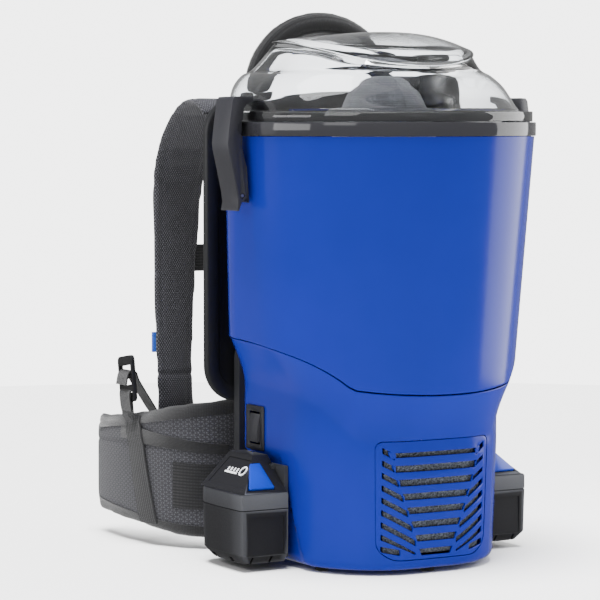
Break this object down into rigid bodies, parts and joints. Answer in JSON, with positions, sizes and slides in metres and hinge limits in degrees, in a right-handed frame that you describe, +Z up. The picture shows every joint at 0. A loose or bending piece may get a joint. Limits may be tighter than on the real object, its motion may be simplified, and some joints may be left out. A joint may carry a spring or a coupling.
{
  "type": "backpack vacuum cleaner",
  "caption": "Battery backpack vacuum with a tapered dust tank, clear lift-off lid, side latches, slotted exhaust panel, slide-in side batteries and a padded harness with waist belt.",
  "frame": {"origin": "on the floor under the middle of the whole vacuum, its feet at Z = 0", "axes": "+Z up, -Y the outer side with the exhaust grille, +Y the wearer side, +X to the right when the grille is faced"},
  "size_m": [0.36, 0.4757, 0.558],
  "materials": {
    "blue_shell": "gloss, moulded",
    "blue_button": "satin, moulded",
    "black_moulding": "fine texture, moulded",
    "dark_grey_moulding": "fine texture, moulded",
    "battery_grey": "fine texture, moulded",
    "gloss_rim": "polished",
    "clear_lid": "clear, polished",
    "black_rubber": "matt",
    "grey_filter": "woven filter cloth",
    "grey_foam": "open-cell foam",
    "black_mesh": "3D spacer mesh",
    "grey_mesh": "3D spacer mesh with woven bindings",
    "black_webbing": "woven webbing",
    "steel": "bright",
    "aluminium": "machined",
    "circuit_board": "solder mask"
  },
  "bodies": {
    "vacuum_body": {"back_plate": "black_moulding", "base_housing": "blue_shell", "battery_dock_left": "black_moulding", "battery_dock_right": "black_moulding", "bearing_bottom": "steel", "bearing_top": "steel", "belt_buckle_left": "black_moulding", "belt_buckle_right": "black_moulding", "belt_strap_left": "black_webbing", "belt_strap_right": "black_webbing", "belt_wing_left": "grey_mesh", "belt_wing_right": "grey_mesh", "carry_handle": "black_mesh", "cone_filter": "grey_filter", "control_board": "circuit_board", "exhaust_foam": "grey_foam", "exhaust_grille": "blue_shell", "fan_housing": "black_moulding", "filter_ring": "black_moulding", "foot_1": "black_rubber", "foot_2": "black_rubber", "foot_3": "black_rubber", "foot_4": "black_rubber", "foot_5": "black_rubber", "handle_foot_left": "black_moulding", "handle_foot_right": "black_moulding", "latch_bracket_left": "black_moulding", "latch_bracket_right": "black_moulding", "latch_pin_left": "steel", "latch_pin_right": "steel", "lid_seal": "black_rubber", "lumbar_pad": "grey_mesh", "motor_can": "steel", "motor_mount": "black_moulding", "plate_mount": "black_moulding", "plate_screw_left": "steel", "plate_screw_right": "steel", "rear_cover": "black_moulding", "shoulder_strap_left": "black_mesh", "shoulder_strap_right": "black_mesh", "sternum_buckle": "black_moulding", "sternum_strap_left": "black_webbing", "sternum_strap_right": "black_webbing", "switch_bezel": "dark_grey_moulding", "tank": "blue_shell", "tank_rim": "gloss_rim"},
    "lid": {"lid": "clear_lid", "hose_inlet": "black_moulding"},
    "hose_swivel": {"hose_swivel": "black_moulding"},
    "latch_left": {"latch_left": "dark_grey_moulding"},
    "latch_right": {"latch_right": "dark_grey_moulding"},
    "fan": {"impeller": "aluminium", "motor_shaft": "steel"},
    "switch_rocker": {"switch_rocker": "black_moulding"},
    "battery_left": {"battery_case_left": "battery_grey", "battery_top_left": "black_moulding"},
    "battery_right": {"battery_case_right": "battery_grey", "battery_top_right": "black_moulding"},
    "release_left": {"battery_release_left": "blue_button"},
    "release_right": {"battery_release_right": "blue_button"}
  },
  "joints": [
    {"name": "lid_lift", "type": "slide", "parent": "vacuum_body", "child": "lid", "axis": [0, 0, 1], "range_m": [0, 0.036]},
    {"name": "latch_left_swing", "type": "hinge", "parent": "vacuum_body", "child": "latch_left", "pos_m": [-0.163, -0.0768, 0.371], "axis": [0, -1, 0], "range_deg": [0, 55]},
    {"name": "latch_right_swing", "type": "hinge", "parent": "vacuum_body", "child": "latch_right", "pos_m": [0.163, -0.0768, 0.371], "axis": [0, 1, 0], "range_deg": [0, 55]},
    {"name": "hose_spin", "type": "hinge", "parent": "lid", "child": "hose_swivel", "pos_m": [0.1235, 0.00604, 0.479], "axis": [0.5, 0.866, 0], "continuous": true},
    {"name": "fan_spin", "type": "hinge", "parent": "vacuum_body", "child": "fan", "pos_m": [0, -0.0813, 0.2], "axis": [0, 0, 1], "continuous": true},
    {"name": "switch_rock", "type": "hinge", "parent": "vacuum_body", "child": "switch_rocker", "pos_m": [-0.108, -0.0273, 0.134], "axis": [0, -1, 0], "range_deg": [0, 11.5]},
    {"name": "battery_left_slide", "type": "slide", "parent": "vacuum_body", "child": "battery_left", "axis": [0, 0, 1], "range_m": [0, 0.055]},
    {"name": "battery_right_slide", "type": "slide", "parent": "vacuum_body", "child": "battery_right", "axis": [0, 0, 1], "range_m": [0, 0.055]},
    {"name": "release_left_press", "type": "slide", "parent": "battery_left", "child": "release_left", "axis": [0, 0.6364, -0.7714], "range_m": [0, 0.0025], "stiffness_N_per_m": 400, "springref_m": -0.001},
    {"name": "release_right_press", "type": "slide", "parent": "battery_right", "child": "release_right", "axis": [0, 0.6364, -0.7714], "range_m": [0, 0.0025], "stiffness_N_per_m": 400, "springref_m": -0.001}
  ],
  "couplings": [
    {"joint": "latch_left_swing", "follows": "lid_lift", "rad_per_m": 26.6},
    {"joint": "latch_right_swing", "follows": "lid_lift", "rad_per_m": 26.6}
  ]
}
